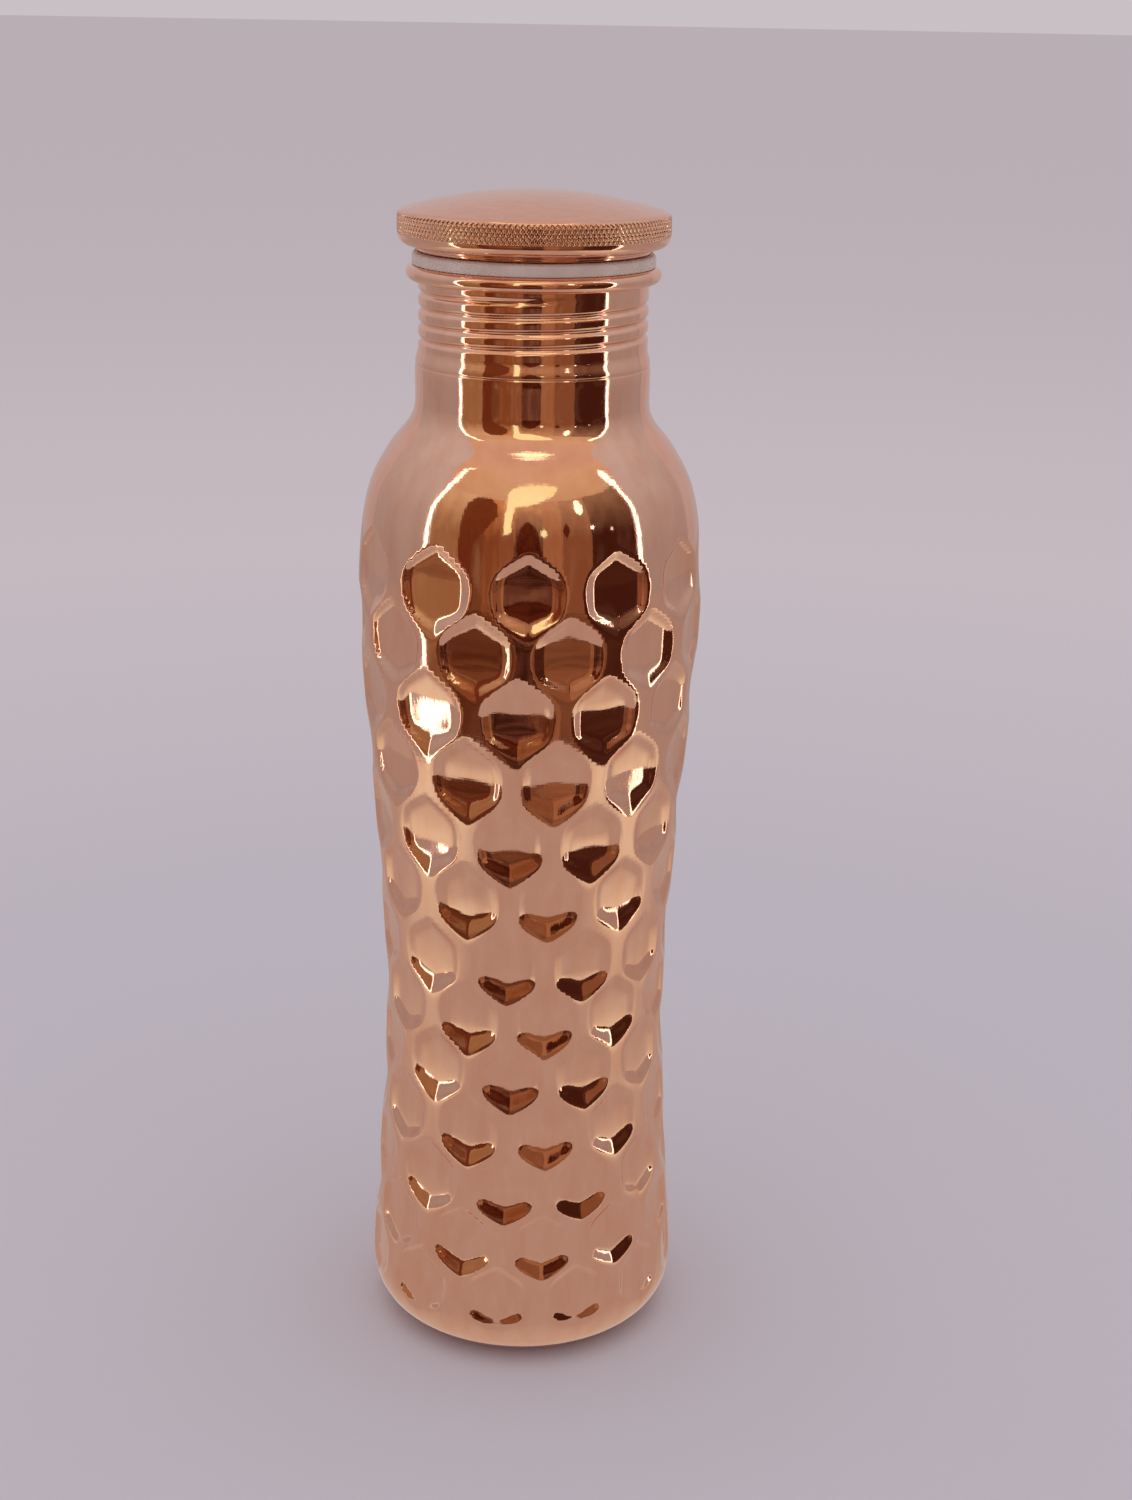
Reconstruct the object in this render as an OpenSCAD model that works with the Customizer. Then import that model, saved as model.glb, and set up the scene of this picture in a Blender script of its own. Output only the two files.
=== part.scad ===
/* [Bottle body] */
// Height of the top of the rolled lip above the table
lip_top = 250.7; // [244:0.1:258]
// Outer radius at the foot, just above the rounded bottom edge
foot_r = 36.4; // [35:0.1:38]
// Outer radius at the waist
waist_r = 32.85; // [31.5:0.05:34.5]
// Outer radius at the shoulder, the widest place
shoulder_r = 38.4; // [36.5:0.1:40]
// Radius of the rounded bottom edge
foot_round = 12; // [9:0.5:13]
// Thickness of the copper sheet
sheet = 0.7; // [0.6:0.05:0.8]

/* [Neck and lip] */
// Outer radius of the plain neck below the thread
neck_r = 25.6; // [25.4:0.05:26]
// Outer radius of the neck where the thread is rolled
thread_neck_r = 24.95; // [24.9:0.05:25.1]
// Radius of the lip's round section
lip_round = 1.65; // [1.5:0.05:1.8]

/* [Thread] */
// Rise of the thread in one turn
pitch = 3.3; // [3.2:0.05:3.5]
// How deep the rolled thread presses into the neck
thread_depth = 0.65; // [0.5:0.05:0.7]
// Number of turns rolled into the neck
neck_turns = 3.5; // [1.5:0.25:3.5]
// Number of turns on the plug
plug_turns = 1.75; // [1:0.25:2]

/* [Lid] */
// Largest radius of the lid, over the knurled band
lid_r = 29.4; // [29.2:0.1:31]
// Height of the domed top above the edge of the lid
dome_h = 4.1; // [2:0.1:6]
// Height of the lid's rim, from the edge of the dome to the underside
rim_h = 7.4; // [6.8:0.1:9]
// How far the plug reaches below the top of the lip
plug_reach = 16.2; // [15.5:0.1:20]

/* [Seal] */
// Thickness of the silicone washer
washer_t = 2.6; // [2:0.1:3]
// Outer radius of the silicone washer
washer_r = 26.05; // [25.6:0.05:26.4]

/* [Hidden] */
$fn = 96;
COPPER = [0.80, 0.50, 0.38];
SILICONE = [0.88, 0.84, 0.80];

// Gap between parts that move against each other, and a sheet's overlap into its neighbour
gap = 0.15;
join = 0.2;

// How far below the top of the lip the thread, the neck and the shoulder end
thread_drop = 17.5;
neck_drop = 28.7;
shoulder_drop = 72.7;
// Heights along the body
lip_z = lip_top - lip_round;
thread_end_z = lip_top - thread_drop;
neck_foot_z = lip_top - neck_drop;
shoulder_z = lip_top - shoulder_drop;
waist_z = 82;
// Centre of the lip's round section, and of the rounded bottom edge
lip_ring_r = thread_neck_r - sheet + 0.05 + lip_round;
foot_c = [foot_r - foot_round, foot_round];
// Width and inner edge of the rim that is turned in under the bottle
rim_width = 3.4;
rim_edge_r = foot_c[0] - rim_width;

// Outer outline from the rounded foot to the neck's thread, as [height, radius]
outline = [
    [foot_round, foot_r],
    [35, waist_r + 0.6 * (foot_r - waist_r)],
    [waist_z, waist_r],
    [waist_z + 0.45 * (shoulder_z - waist_z), waist_r + 0.38 * (shoulder_r - waist_r)],
    [waist_z + 0.81 * (shoulder_z - waist_z), waist_r + 0.85 * (shoulder_r - waist_r)],
    [shoulder_z, shoulder_r],
    [shoulder_z + 16, shoulder_r - 0.9],
    [shoulder_z + 26, shoulder_r - 3],
    [shoulder_z + 34, shoulder_r - 7.3],
    [neck_foot_z - 5, neck_r + 1.5],
    [neck_foot_z - 2.2, neck_r + 0.25],
    [neck_foot_z, neck_r + 0.05],
    [thread_end_z - 3, neck_r],
    [thread_end_z, thread_neck_r]
];
// Longest steps between points along the flank and along the shoulder
flank_step = 5;
shoulder_step = 1.5;
// Sides to a quarter of the rounded bottom edge
foot_sides = 8;

// Heights under the lid, and of its edge
washer_z = lip_top + gap;
flange_z = washer_z + washer_t + gap;
flange_top_z = flange_z + sheet + 0.05;
lid_under_z = flange_top_z + 0.5;
lid_edge_z = lid_under_z + rim_h;
plug_low_z = lip_top - plug_reach;
// Radii of the lid's sheets
curl_round = 2.3;
curl_c = [lid_r - 0.1 - curl_round, lid_under_z + curl_round];
curl_edge_r = curl_c[0] - 0.7;
edge_r = lid_r - 1.15;
edge_round = 1.6;
boss_r = curl_edge_r - 0.5;
flange_r = boss_r - 0.6;
// The dome's outer face is part of a sphere through the edge of the lid
dome_sphere = (edge_r * edge_r + dome_h * dome_h) / (2 * dome_h);
// Radii of the plug's wall, its thread's crest and the bore of the washer
plug_r = thread_neck_r - sheet - thread_depth - 0.2;
plug_crest_r = thread_neck_r - sheet - 0.25;
washer_bore_r = plug_r + 0.2;

// Half widths of a thread ridge at its root and at its crest, and its sides to a turn
root_half = 0.75;
crest_half = 0.4;
sides = 40;
// Part of a turn over which a ridge rises at each end
run_out = 0.2;
// How deep the neck's groove shows outside, and where round the neck both ridges start
groove_depth = 0.45;
ridge_start = 120;
// Height of the start of the neck's ridge, and of the plug's, which runs between its turns
neck_ridge_z = thread_end_z + root_half + 0.35;
plug_ridge_z = neck_ridge_z + 0.5 * pitch;

// Slope of the outline at a station, level at both ends and where it turns back
function slope(i) =
    i == 0 || i == len(outline) - 1 ? 0 :
    (outline[i][1] - outline[i - 1][1]) * (outline[i + 1][1] - outline[i][1]) <= 0 ? 0 :
    (outline[i + 1][1] - outline[i - 1][1]) / (outline[i + 1][0] - outline[i - 1][0]);

// Radius on the smooth curve between station i and the next one, at share t of the way
function radius_at(i, t) =
    let (h = outline[i + 1][0] - outline[i][0])
    outline[i][1] * (1 + 2 * t) * (1 - t) * (1 - t)
    + outline[i + 1][1] * t * t * (3 - 2 * t)
    + h * slope(i) * t * (1 - t) * (1 - t)
    - h * slope(i + 1) * t * t * (1 - t);

// Points [radius, height] from station i up to the next one, without the last
function stretch(i) =
    let (
        h = outline[i + 1][0] - outline[i][0],
        n = ceil(h / (outline[i][0] < shoulder_z ? flank_step : shoulder_step))
    )
    [for (k = [0:n - 1]) [radius_at(i, k / n), outline[i][0] + h * k / n]];

outer_wall = [for (i = [0:len(outline) - 2]) each stretch(i)];

// Point i of a line moved square to the line, to its left
function moved(line, i, by) =
    let (d = line[min(len(line) - 1, i + 1)] - line[max(0, i - 1)])
    line[i] + by / norm(d) * [-d[1], d[0]];

inner_wall = [for (i = [len(outer_wall) - 1:-1:1]) moved(outer_wall, i, sheet)];

// Points on an arc from angle a0 to a1, both ends included
function arc(c, r, a0, a1, n) = [
    for (k = [0:n])
        let (a = a0 + (a1 - a0) * k / n)
        c + r * [cos(a), sin(a)]
];

// How far up a ridge has risen at a turn, from 0 at its ends to 1
function risen(turn, turns) = min(1, turn / run_out, (turns - turn) / run_out);

// One ring of a ridge's section: root low, crest low, crest high, root high
function ridge_ring(root, crest, turn, turns, z0) =
    let (
        a = ridge_start + turn * 360,
        dir = [cos(a), sin(a)],
        z = z0 + turn * pitch,
        r = root + (crest - root) * (0.1 + 0.9 * risen(turn, turns))
    )
    [
        [dir[0] * root, dir[1] * root, z - root_half],
        [dir[0] * r, dir[1] * r, z - crest_half],
        [dir[0] * r, dir[1] * r, z + crest_half],
        [dir[0] * root, dir[1] * root, z + root_half]
    ];

// A right-handed helical ridge that stands on the root radius and reaches the crest radius
module ridge(root, crest, turns, z0) {
    n = round(turns * sides);
    points = [for (i = [0:n]) each ridge_ring(root, crest, i * turns / n, turns, z0)];
    walls = [for (i = [0:n - 1], k = [0:3]) each [
        [4 * i + k, 4 * i + (k + 1) % 4, 4 * i + 4 + (k + 1) % 4],
        [4 * i + k, 4 * i + 4 + (k + 1) % 4, 4 * i + 4 + k]
    ]];
    last = 4 * n;
    ends = [[0, 2, 1], [0, 3, 2], [last, last + 1, last + 2], [last, last + 2, last + 3]];
    inwards = concat(walls, ends);
    faces = crest > root ? inwards : [for (f = inwards) [f[2], f[1], f[0]]];
    polyhedron(points, faces, convexity = 8);
}

// The rolled lip, a curl of the sheet that stays open towards the neck
module lip_section() {
    slit = 0.4;
    difference() {
        translate([lip_ring_r, lip_z]) circle(lip_round);
        translate([lip_ring_r, lip_z]) circle(lip_round - sheet);
        translate([thread_neck_r + gap, lip_z - lip_round - join]) square([slit, lip_round]);
    }
}

module wall_section() {
    polygon(concat(
        [[rim_edge_r, 0]],
        arc(foot_c, foot_round, -90, 0, foot_sides),
        [for (i = [1:len(outer_wall) - 1]) outer_wall[i]],
        [[thread_neck_r, thread_end_z], [thread_neck_r, lip_z]],
        [[thread_neck_r - sheet, lip_z], [thread_neck_r - sheet, thread_end_z]],
        inner_wall,
        arc(foot_c, foot_round - sheet, 0, -90, foot_sides),
        [[rim_edge_r, sheet]]
    ));
}

// One sheet of copper: turned-in rim, foot, waist, shoulder, threaded neck and rolled lip
module body_shell() {
    color(COPPER) {
        difference() {
            rotate_extrude() {
                wall_section();
                lip_section();
            }
            ridge(thread_neck_r + join, thread_neck_r - groove_depth, neck_turns, neck_ridge_z);
        }
        ridge(thread_neck_r - sheet + join, thread_neck_r - sheet - thread_depth, neck_turns, neck_ridge_z);
    }
}

// Disc that closes the foot: a flat edge on the turned-in rim and a raised middle
module base_plate() {
    plate_r = foot_c[0] - 0.4;
    raised_r = rim_edge_r - 2;
    raised_z = 3;
    color(COPPER) rotate_extrude() polygon([
        [plate_r, sheet], [plate_r, 2 * sheet],
        [rim_edge_r, 2 * sheet], [raised_r, raised_z + sheet], [0, raised_z + sheet],
        [0, raised_z], [raised_r - 0.3, raised_z], [rim_edge_r - 0.4, sheet]
    ]);
}

// Outline of the lid's cap, moved inwards by some of its sheet
function cap_line(in) =
    let (
        sphere_r = dome_sphere - in,
        end_a = asin((edge_r - in) / sphere_r),
        dome_c = [0, lid_edge_z + dome_h - dome_sphere]
    )
    concat(
        arc(dome_c, sphere_r, 90, 90 - end_a, 8),
        arc([lid_r - edge_round, lid_edge_z - 1.53], edge_round - in, 70, 0, 4),
        [[lid_r - in, lid_edge_z - 2.6], [lid_r - in, lid_edge_z - 4.4]],
        arc(curl_c, curl_round - in, 0, -90, 6)
    );

// Domed top, rim and the curl turned in under it, all one pressed sheet
module lid_cap() {
    outside = cap_line(0);
    inside = cap_line(sheet);
    color(COPPER) rotate_extrude() polygon(concat(
        outside,
        [[curl_edge_r, lid_under_z], [curl_edge_r, lid_under_z + sheet]],
        [for (i = [len(inside) - 1:-1:0]) inside[i]]
    ));
}

// Disc under the lid, held by the curl, with a shallow boss that the plug hangs from
module lid_back_plate() {
    plate_z = lid_under_z + sheet;
    color(COPPER) rotate_extrude() polygon([
        [0, flange_top_z], [boss_r, flange_top_z], [boss_r, plate_z], [curl_c[0], plate_z],
        [curl_c[0], plate_z + sheet], [boss_r - sheet, plate_z + sheet],
        [boss_r - sheet, flange_top_z + sheet], [0, flange_top_z + sheet]
    ]);
}

// Spun cup that screws into the neck: a flange over the washer and a threaded wall
module lid_plug() {
    color(COPPER) {
        rotate_extrude() polygon([
            [plug_r - sheet, plug_low_z], [plug_r, plug_low_z], [plug_r, flange_z],
            [flange_r, flange_z], [flange_r, flange_top_z], [plug_r - sheet, flange_top_z]
        ]);
        ridge(plug_r - join, plug_crest_r, plug_turns, plug_ridge_z);
    }
}

// Disc with a turned-up edge that closes the bottom of the plug
module plug_end() {
    out = plug_r - sheet;
    color(COPPER) rotate_extrude() polygon([
        [0, plug_low_z + 0.2], [out, plug_low_z + 0.2], [out, plug_low_z + 3],
        [out - sheet, plug_low_z + 3], [out - sheet, plug_low_z + 0.2 + sheet],
        [0, plug_low_z + 0.2 + sheet]
    ]);
}

// Soft washer between the plug's flange and the rolled lip
module seal_washer() {
    soft = 0.6;
    color(SILICONE) rotate_extrude() {
        translate([washer_bore_r, washer_z]) square([washer_r - soft - washer_bore_r, washer_t]);
        translate([washer_r - soft - 0.1, washer_z + soft]) square([soft + 0.1, washer_t - 2 * soft]);
        translate([washer_r - soft, washer_z + soft]) circle(soft);
        translate([washer_r - soft, washer_z + washer_t - soft]) circle(soft);
    }
}

body_shell();
base_plate();
lid_cap();
lid_back_plate();
lid_plug();
plug_end();
seal_washer();
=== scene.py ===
"""Looks of a copper water bottle: dimpled body, knurled screw lid and silicone washer."""

import math

import bpy
import numpy as np
from mathutils import Matrix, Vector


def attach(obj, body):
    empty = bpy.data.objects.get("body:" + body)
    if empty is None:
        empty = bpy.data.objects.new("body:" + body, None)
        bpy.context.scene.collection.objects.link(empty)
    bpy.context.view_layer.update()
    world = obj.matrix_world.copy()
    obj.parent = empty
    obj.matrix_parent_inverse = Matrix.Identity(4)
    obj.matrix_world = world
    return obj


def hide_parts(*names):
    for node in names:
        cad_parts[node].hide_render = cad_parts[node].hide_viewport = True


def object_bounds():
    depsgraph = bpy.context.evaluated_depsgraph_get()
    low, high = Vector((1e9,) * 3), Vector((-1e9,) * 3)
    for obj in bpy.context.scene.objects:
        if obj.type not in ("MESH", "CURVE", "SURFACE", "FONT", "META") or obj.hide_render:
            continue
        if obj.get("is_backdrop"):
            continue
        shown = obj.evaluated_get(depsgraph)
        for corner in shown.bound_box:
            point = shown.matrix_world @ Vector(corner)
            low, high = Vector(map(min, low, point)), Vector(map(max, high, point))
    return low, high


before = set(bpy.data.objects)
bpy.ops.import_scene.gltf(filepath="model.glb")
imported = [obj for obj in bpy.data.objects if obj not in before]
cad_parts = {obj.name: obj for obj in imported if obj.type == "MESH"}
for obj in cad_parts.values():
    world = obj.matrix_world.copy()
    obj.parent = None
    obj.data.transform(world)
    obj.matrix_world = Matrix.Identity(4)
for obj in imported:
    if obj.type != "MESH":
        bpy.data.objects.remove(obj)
cad_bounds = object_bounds()

MM = 0.001
TURN = 2 * math.pi

# ---------------------------------------------------------------- sizes in millimetres, as in the CAD
LIP_TOP = 250.7
FOOT_R = 36.4
WAIST_R = 32.85
SHOULDER_R = 38.4
FOOT_ROUND = 12.0
SHEET = 0.7
NECK_R = 25.6
THREAD_NECK_R = 24.95
LIP_ROUND = 1.65
PITCH = 3.3
LID_R = 29.4
DOME_H = 4.1
RIM_H = 7.4
PLUG_REACH = 16.2
WASHER_T = 2.6
WASHER_R = 26.05

# The room over and under the solid washer, and a hair's breadth that keeps faces from meeting
GAP = 0.15
LAP = 0.05

LIP_Z = LIP_TOP - LIP_ROUND
LIP_RING_R = THREAD_NECK_R - SHEET + LAP + LIP_ROUND
THREAD_END_Z = LIP_TOP - 17.5
NECK_FOOT_Z = LIP_TOP - 28.7
SHOULDER_Z = LIP_TOP - 72.7
WAIST_Z = 82.0
FOOT_C = (FOOT_R - FOOT_ROUND, FOOT_ROUND)
RIM_EDGE_R = FOOT_C[0] - 3.4

WASHER_Z = LIP_TOP + GAP
FLANGE_Z = WASHER_Z + WASHER_T + GAP
FLANGE_TOP_Z = FLANGE_Z + SHEET + LAP
LID_UNDER_Z = FLANGE_TOP_Z + 0.5
LID_EDGE_Z = LID_UNDER_Z + RIM_H
CURL_ROUND = 2.3
CURL_C = (LID_R - 0.1 - CURL_ROUND, LID_UNDER_Z + CURL_ROUND)
CURL_EDGE_R = CURL_C[0] - 0.7
EDGE_R = LID_R - 1.15
EDGE_ROUND = 1.6
EDGE_C = (LID_R - EDGE_ROUND, LID_EDGE_Z - 1.53)
RIM_TOP_Z = LID_EDGE_Z - 2.6
RIM_LOW_Z = LID_EDGE_Z - 4.4
PLUG_R = 23.4
PLUG_LOW_Z = LIP_TOP - PLUG_REACH
FLANGE_R = CURL_EDGE_R - 1.1
WASHER_BORE_R = PLUG_R + 0.2

# Outer outline of the body, as (height, radius)
OUTLINE = [
    (FOOT_ROUND, FOOT_R),
    (35.0, WAIST_R + 0.6 * (FOOT_R - WAIST_R)),
    (WAIST_Z, WAIST_R),
    (WAIST_Z + 0.45 * (SHOULDER_Z - WAIST_Z), WAIST_R + 0.38 * (SHOULDER_R - WAIST_R)),
    (WAIST_Z + 0.81 * (SHOULDER_Z - WAIST_Z), WAIST_R + 0.85 * (SHOULDER_R - WAIST_R)),
    (SHOULDER_Z, SHOULDER_R),
    (SHOULDER_Z + 16, SHOULDER_R - 0.9),
    (SHOULDER_Z + 26, SHOULDER_R - 3.0),
    (SHOULDER_Z + 34, SHOULDER_R - 7.3),
    (NECK_FOOT_Z - 5, NECK_R + 1.5),
    (NECK_FOOT_Z - 2.2, NECK_R + 0.25),
    (NECK_FOOT_Z, NECK_R + LAP),
    (THREAD_END_Z - 3, NECK_R),
    (THREAD_END_Z, THREAD_NECK_R),
]

# The dimples: how many round, the rows down the body, how far each row is turned, in degrees from the front,
# and how far the spacing is pulled round on the left
DIMPLES_ROUND = 12
ROW_HEIGHTS = [186.8, 173.3, 159.6, 145.2, 130.3, 116.3, 100.5, 87.2, 73.7, 59.6, 45.6, 31.6, 18.0]
ROW_TURN = [0.6, -0.9, -2.6, -4.4, -4.8, -5.6, -6.0, -6.0, -4.2, -5.2, -5.8, -6.4, -8.0]
UNEVEN = math.radians(7)

# A dimple's floor: half its width, the half width of cell from which it grows, the directions that its
# slanted edges face above and below, how blunt it is below, how soft its tips are and how square its corners
FLOOR_HALF = 5.3
FLOOR_GROWS_FROM = 8.2
FLOOR_ABOVE = (0.5, 0.866)
FLOOR_BELOW = (0.33, 0.944)
FLOOR_BLUNT = 0.953
FLOOR_TIP_SOFT = 0.5
FLOOR_POWER = 10

# A dimple's cell: its share of the spacing, its reach and taper below and above, its tips and its corners
CELL_SHARE = 0.445
CELL_BELOW = 12.2
CELL_ABOVE = 9.6
CELL_TAPER_BELOW = 0.98
CELL_TAPER_ABOVE = 0.72
CELL_TIP_SOFT = 0.75
CELL_POWER = 5.5

# How deep a dimple is, how steep its wall, and how its floor is dished, less low down than high up
DEPTH_LEAST = 0.6
DEPTH_RATE = 0.22
WALL_STEEP = 0.32
CREASE = 1.0
DISH_LOW = 0.25
DISH_HIGH = 0.55
DISH_FROM, DISH_TO = 112.0, 158.0
DISH_SPREAD = 1.3

# The rolled thread: where it starts, how many turns, its groove and the part of a turn it fades in
THREAD_START = math.radians(120)
THREAD_START_Z = 234.3
THREAD_TURNS = 3.5
THREAD_DEPTH = 0.6
THREAD_HALF = 1.05
RUN_OUT = 0.2

# The fine line scribed round the neck: its height, depth and width
SCRIBED_Z = 229.65
SCRIBED_DEPTH = 0.12
SCRIBED_WIDE = 0.22


# ---------------------------------------------------------------- meshes from rings of points
def slope(i):
    """Slope of the outline at its point i, level where it turns back."""
    if i in (0, len(OUTLINE) - 1):
        return 0.0
    (z0, r0), (_, r1), (z2, r2) = OUTLINE[i - 1], OUTLINE[i], OUTLINE[i + 1]
    return 0.0 if (r1 - r0) * (r2 - r1) <= 0 else (r2 - r0) / (z2 - z0)


def outline_points(step):
    """The smooth outline from the rounded foot to the thread, as [radius, height] rows."""
    rows = []
    for i in range(len(OUTLINE) - 1):
        (z0, r0), (z1, r1) = OUTLINE[i], OUTLINE[i + 1]
        h = z1 - z0
        for t in np.arange(0, 1, step / h):
            rows.append((
                r0 * (1 + 2 * t) * (1 - t) ** 2 + r1 * t * t * (3 - 2 * t)
                + h * slope(i) * t * (1 - t) ** 2 - h * slope(i + 1) * t * t * (1 - t),
                z0 + h * t,
            ))
    return rows + [(OUTLINE[-1][1], OUTLINE[-1][0])]


def arc(centre, radius, start, end, count):
    """Points on an arc in the (radius, height) plane, angles in degrees."""
    angles = np.radians(np.linspace(start, end, count))
    return [(centre[0] + radius * math.cos(a), centre[1] + radius * math.sin(a)) for a in angles]


class Profile:
    """A line in the (radius, height) plane, read by its length, with its outward direction."""

    def __init__(self, points):
        p = np.array(points, float)
        keep = np.r_[True, np.linalg.norm(np.diff(p, axis=0), axis=1) > 1e-7]
        self.p = p[keep]
        self.s = np.r_[0, np.cumsum(np.linalg.norm(np.diff(self.p, axis=0), axis=1))]
        d = np.gradient(self.p, self.s, axis=0)
        d /= np.linalg.norm(d, axis=1)[:, None]
        self.n = np.c_[d[:, 1], -d[:, 0]]

    def at(self, s):
        read = lambda column: np.interp(s, self.s, column)
        n = np.stack([read(self.n[:, 0]), read(self.n[:, 1])])
        n = n / np.linalg.norm(n, axis=0)
        return read(self.p[:, 0]), read(self.p[:, 1]), n[0], n[1]

    def length_at(self, z):
        return float(np.interp(z, self.p[:, 1], self.s))


def lathe_points(profile, s, angle, raise_by, inset=0.0):
    """Points of the turned surface, moved out by raise_by(angle, height) and in by inset."""
    r, z, nr, nz = profile.at(s)
    d = raise_by(angle, z) - inset
    rr = r + nr * d
    return np.stack([rr * np.cos(angle), rr * np.sin(angle), z + nz * d], -1)


def lathe_rings(profile, lengths, around, raise_by, inset=0.0, flip=False):
    """Rings with their true surface directions: a list of (points, directions)."""
    rings = []
    eps_a, eps_s = 0.0004, 0.012
    for s, n in zip(lengths, around):
        a = np.arange(n) * TURN / n
        at = lambda da, ds: lathe_points(profile, np.full(n, s) + ds, a + da, raise_by, inset)
        low, high = max(0.0, s - eps_s) - s, min(profile.s[-1], s + eps_s) - s
        across = np.cross(at(eps_a, 0) - at(-eps_a, 0), at(0, high) - at(0, low))
        across /= np.maximum(np.linalg.norm(across, axis=1), 1e-12)[:, None]
        rings.append((at(0, 0), -across if flip else across))
    return rings


def faces_between(first, n, second, m):
    """Faces from a ring of n points to the next ring of m points, where m is n, n/2 or 2n."""
    if n == m:
        i = np.arange(n)
        j = (i + 1) % n
        return np.stack([first + i, first + j, second + j, second + i], -1).tolist()
    coarse, fine = (first, second) if n < m else (second, first)
    c = min(n, m)
    made = []
    for k in range(c):
        k1 = (k + 1) % c
        f0, f1, f2 = fine + 2 * k, fine + 2 * k + 1, fine + (2 * k + 2) % (2 * c)
        tris = [(coarse + k, f1, f0), (coarse + k, coarse + k1, f1), (coarse + k1, f2, f1)]
        made += tris if n < m else [t[::-1] for t in tris]
    return made


def mesh_piece(name, rings, closed, material):
    """A smooth mesh object through rings of points, in metres. closed joins the last ring to the first."""
    verts, normals, starts, faces = [], [], [], []
    for points, directions in rings:
        starts.append(sum(len(v) for v in verts))
        verts.append(points)
        normals.append(directions)
    pairs = [(i, i + 1) for i in range(len(rings) - 1)] + ([(len(rings) - 1, 0)] if closed else [])
    for i, j in pairs:
        n, m = len(rings[i][0]), len(rings[j][0])
        if n == 1:
            k = np.arange(m)
            made = np.stack([np.full(m, starts[i]), starts[j] + (k + 1) % m, starts[j] + k], -1).tolist()
        elif m == 1:
            k = np.arange(n)
            made = np.stack([starts[i] + k, starts[i] + (k + 1) % n, np.full(n, starts[j])], -1).tolist()
        else:
            made = faces_between(starts[i], n, starts[j], m)
        faces += made
    mesh = bpy.data.meshes.new(name)
    mesh.from_pydata((np.concatenate(verts) * MM).tolist(), [], faces)
    mesh.polygons.foreach_set("use_smooth", [True] * len(mesh.polygons))
    mesh.update()
    mesh.normals_split_custom_set_from_vertices(np.concatenate(normals).tolist())
    mesh.materials.append(material)
    piece = bpy.data.objects.new(name, mesh)
    bpy.context.scene.collection.objects.link(piece)
    return piece


def plain(angle, z):
    """No relief."""
    return np.zeros_like(z)


def spaced(start, end, step):
    """Lengths from start up to, but without, end, about a step apart."""
    return np.linspace(start, end, max(2, int(round((end - start) / step)) + 1))[:-1]


# ---------------------------------------------------------------- relief of the body
def smooth(t):
    """A soft step from 0 to 1."""
    t = np.clip(t, 0, 1)
    return t * t * (3 - 2 * t)


def radius_of(z):
    """The body's outer radius at a height."""
    return np.interp(z, OUTLINE_Z, OUTLINE_RADII)


def softened(u, by):
    """Distance from a dimple's middle line, eased across the line so that its tips are rounded."""
    return np.sqrt(u * u + by * by) - by


def floor_edge(u, v, floor):
    """How far out a point is in a dimple's floor: a hexagon on its point, blunter below. 1 is the edge."""
    a = softened(u, FLOOR_TIP_SOFT)
    above = FLOOR_ABOVE[0] * a + FLOOR_ABOVE[1] * v
    below = (FLOOR_BELOW[0] * a - FLOOR_BELOW[1] * v) / FLOOR_BLUNT
    b = np.maximum(np.where(v > 0, above, below), 0)
    return (np.abs(u) ** FLOOR_POWER + b ** FLOOR_POWER) ** (1 / FLOOR_POWER) / floor


def cell_edge(u, v, half):
    """How far out a point is in a dimple's cell: straight sides, pointed above and below. 1 is the edge."""
    reach = np.where(v < 0, CELL_BELOW, CELL_ABOVE)
    across = np.where(v < 0, CELL_TAPER_BELOW, CELL_TAPER_ABOVE) * softened(u, CELL_TIP_SOFT)
    side = np.abs(u) / half
    tip = (across + np.abs(v)) / reach
    return (side ** CELL_POWER + tip ** CELL_POWER) ** (1 / CELL_POWER)


def dimple(u, v, half, dish):
    """Depth of one dimple at (u across, v up) from its middle, half being half its cell's width.

    The floor is slightly dished, its edge is steep, and the wall outside it eases out to the skin.
    """
    floor = FLOOR_HALF + np.maximum(half - FLOOR_GROWS_FROM, 0)
    beyond = (floor_edge(u, v, floor) - 1) * floor
    left = np.maximum(1 - cell_edge(u, v, half), 0) * half
    past = 0.5 * (beyond + np.sqrt(beyond ** 2 + CREASE ** 2))
    t = past / (past + left)
    eased = np.maximum(t - WALL_STEEP, 0) / (1 - WALL_STEEP)
    rise = np.minimum(t, WALL_STEEP) + (1 - WALL_STEEP) * (eased - eased ** 3 + 0.5 * eased ** 4)
    wall = 1 - rise / (WALL_STEEP + 0.5 * (1 - WALL_STEEP))
    bowl = dish * (1 - np.clip((u * u + v * v) / (DISH_SPREAD * floor) ** 2, 0, 1)) ** 2
    return (DEPTH_LEAST + DEPTH_RATE * (half - floor)) * wall + bowl


def dimples(angle, z):
    """Depth of all the dimples, which are spaced a little unevenly on the left, as in the photograph."""
    total = np.zeros(np.broadcast(angle, z).shape)
    between = TURN / DIMPLES_ROUND
    front = angle + math.radians(90)
    on_left = np.minimum(np.sin(front), 0)
    shifted = front + UNEVEN * on_left ** 2
    stretch = 1 / (1 + 2 * UNEVEN * on_left * np.cos(front))
    radius = radius_of(z) * stretch
    for row, (height, turn) in enumerate(zip(ROW_HEIGHTS, ROW_TURN)):
        v = z - height
        near = np.abs(v) < 1.1 * CELL_BELOW
        if np.any(near):
            start = math.radians(turn) + (0.5 * between if row % 2 else 0)
            u = (np.mod(shifted - start + between / 2, between) - between / 2) * radius
            half = CELL_SHARE * between * radius_of(height) * stretch
            dish = DISH_LOW + (DISH_HIGH - DISH_LOW) * smooth((height - DISH_FROM) / (DISH_TO - DISH_FROM))
            total += np.where(near, dimple(u, v, half, dish), 0) ** 3
    return np.cbrt(total)


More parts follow.
